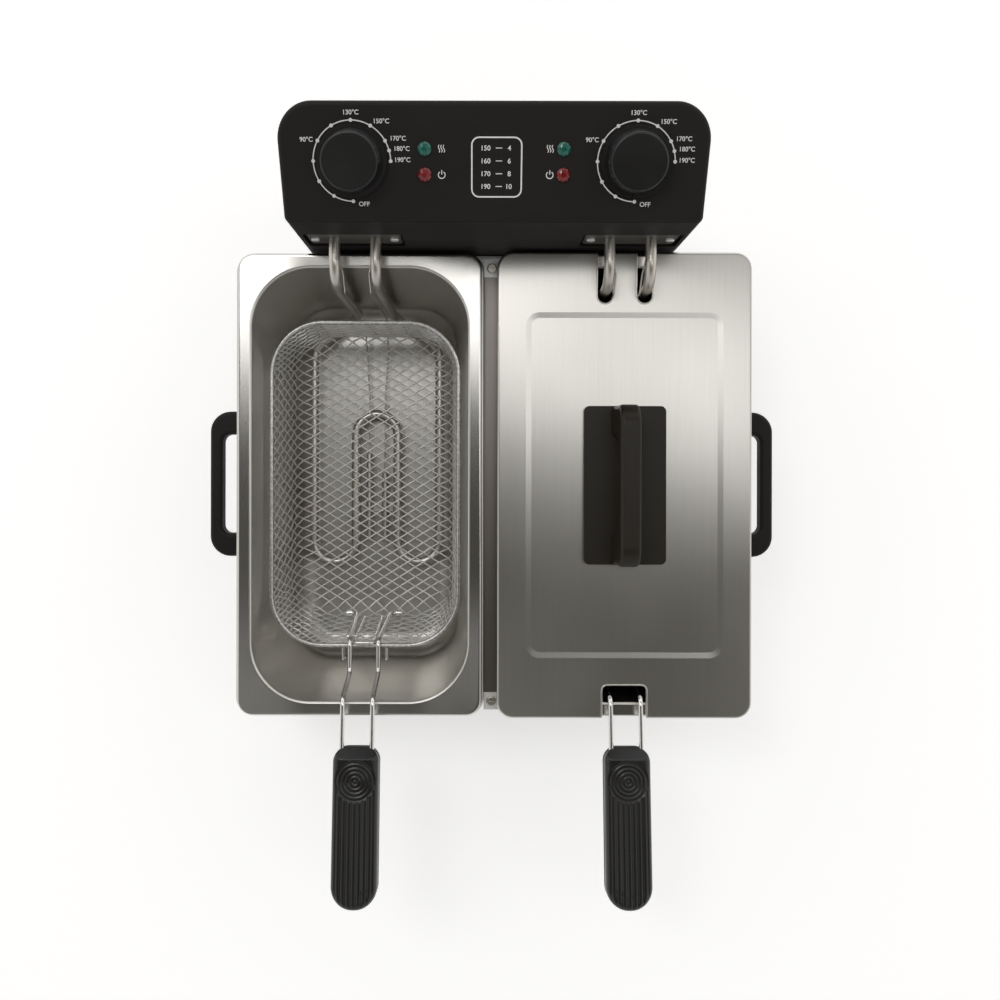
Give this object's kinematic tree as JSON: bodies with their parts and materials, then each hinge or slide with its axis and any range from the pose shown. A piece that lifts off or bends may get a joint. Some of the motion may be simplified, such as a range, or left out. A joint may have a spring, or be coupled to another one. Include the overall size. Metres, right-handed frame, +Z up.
{
  "type": "deep fryer",
  "caption": "Twin-tank deep fryer: steel housings with tanks and mesh baskets, one lid, and a lift-off control unit at the back with dials, lamps and heating elements.",
  "frame": {"origin": "under the middle of the whole object, on the worktop", "axes": "+X to the right seen from the front, +Y to the back, +Z up"},
  "size_m": [0.4156, 0.5318, 0.2606],
  "materials": {
    "housing_steel": "brushed",
    "tank_steel": "satin",
    "lid_steel": "brushed",
    "zinc": "plated",
    "element_steel": "polished",
    "plate_steel": "dark satin",
    "wire": "plated",
    "black_plastic": "satin",
    "knob_plastic": "satin gloss",
    "base_plastic": "matt",
    "gland_plastic": "matt",
    "rubber": "matt",
    "green_lens": "clear",
    "red_lens": "clear",
    "button_red": "satin",
    "inner_plastic": "matt",
    "spindle_metal": "turned",
    "lead": "silicone"
  },
  "bodies": {
    "fryer_body": {"rubber_feet": "rubber", "joining_strip": "housing_steel", "tie_brackets": "zinc", "tie_screws": "zinc", "side_handle_screws": "zinc", "rear_hanger": "zinc", "left_housing": "housing_steel", "left_base_plate": "base_plastic", "left_side_handle": "black_plastic", "left_tank": "tank_steel", "right_housing": "housing_steel", "right_base_plate": "base_plastic", "right_side_handle": "black_plastic", "right_tank": "tank_steel"},
    "control_unit": {"control_housing": "black_plastic", "control_back_cover": "black_plastic", "back_cover_screws": "zinc", "cord_glands": "gland_plastic", "element_plate_screws": "zinc", "terminal_block": "inner_plastic", "safety_switch": "inner_plastic", "wiring": "lead", "left_thermostat": "inner_plastic", "left_thermal_cutout": "inner_plastic", "left_element": "element_steel", "left_element_plate": "plate_steel", "left_sensor_bulbs": "element_steel", "left_ready_lamp": "green_lens", "left_power_lamp": "red_lens", "right_thermostat": "inner_plastic", "right_thermal_cutout": "inner_plastic", "right_element": "element_steel", "right_element_plate": "plate_steel", "right_sensor_bulbs": "element_steel", "right_ready_lamp": "green_lens", "right_power_lamp": "red_lens"},
    "left_dial": {"left_knob": "knob_plastic", "left_spindle": "spindle_metal"},
    "left_reset": {"left_reset_button": "button_red"},
    "left_basket": {"left_basket_wall": "wire", "left_basket_floor": "wire", "left_basket_rim": "wire", "left_basket_bracket": "wire"},
    "left_handle": {"left_handle_wire": "wire", "left_grip_upper": "black_plastic", "left_grip_lower": "black_plastic"},
    "right_dial": {"right_knob": "knob_plastic", "right_spindle": "spindle_metal"},
    "right_reset": {"right_reset_button": "button_red"},
    "right_basket": {"right_basket_wall": "wire", "right_basket_floor": "wire", "right_basket_rim": "wire", "right_basket_bracket": "wire"},
    "right_handle": {"right_handle_wire": "wire", "right_grip_upper": "black_plastic", "right_grip_lower": "black_plastic"},
    "lid": {"lid": "lid_steel", "lid_handle": "black_plastic", "lid_handle_screws": "zinc"}
  },
  "joints": [
    {"name": "control_unit_lift", "type": "slide", "parent": "fryer_body", "child": "control_unit", "axis": [0, 0, 1], "range_m": [0, 0.14]},
    {"name": "left_dial_turn", "type": "hinge", "parent": "control_unit", "child": "left_dial", "pos_m": [-0.088, 0.22617, 0.24027], "axis": [0, 0.309, -0.9511], "range_deg": [0, 270]},
    {"name": "left_reset_press", "type": "slide", "parent": "control_unit", "child": "left_reset", "axis": [0, -1, 0], "range_m": [0, 0.002], "stiffness_N_per_m": 500},
    {"name": "left_basket_lift", "type": "slide", "parent": "control_unit", "child": "left_basket", "axis": [0, 0, 1], "range_m": [0, 0.16]},
    {"name": "left_handle_swing", "type": "hinge", "parent": "left_basket", "child": "left_handle", "pos_m": [-0.094, -0.08163, 0.053], "axis": [-1, 0, 0], "range_deg": [0, 80]},
    {"name": "right_dial_turn", "type": "hinge", "parent": "control_unit", "child": "right_dial", "pos_m": [0.088, 0.22617, 0.24027], "axis": [0, 0.309, -0.9511], "range_deg": [0, 270]},
    {"name": "right_reset_press", "type": "slide", "parent": "control_unit", "child": "right_reset", "axis": [0, -1, 0], "range_m": [0, 0.002], "stiffness_N_per_m": 500},
    {"name": "right_basket_lift", "type": "slide", "parent": "control_unit", "child": "right_basket", "axis": [0, 0, 1], "range_m": [0, 0.16]},
    {"name": "right_handle_swing", "type": "hinge", "parent": "right_basket", "child": "right_handle", "pos_m": [0.094, -0.08163, 0.053], "axis": [-1, 0, 0], "range_deg": [0, 1.5]},
    {"name": "lid_lift", "type": "slide", "parent": "right_basket", "child": "lid", "axis": [0, 0, 1], "range_m": [0, 0.12]}
  ]
}
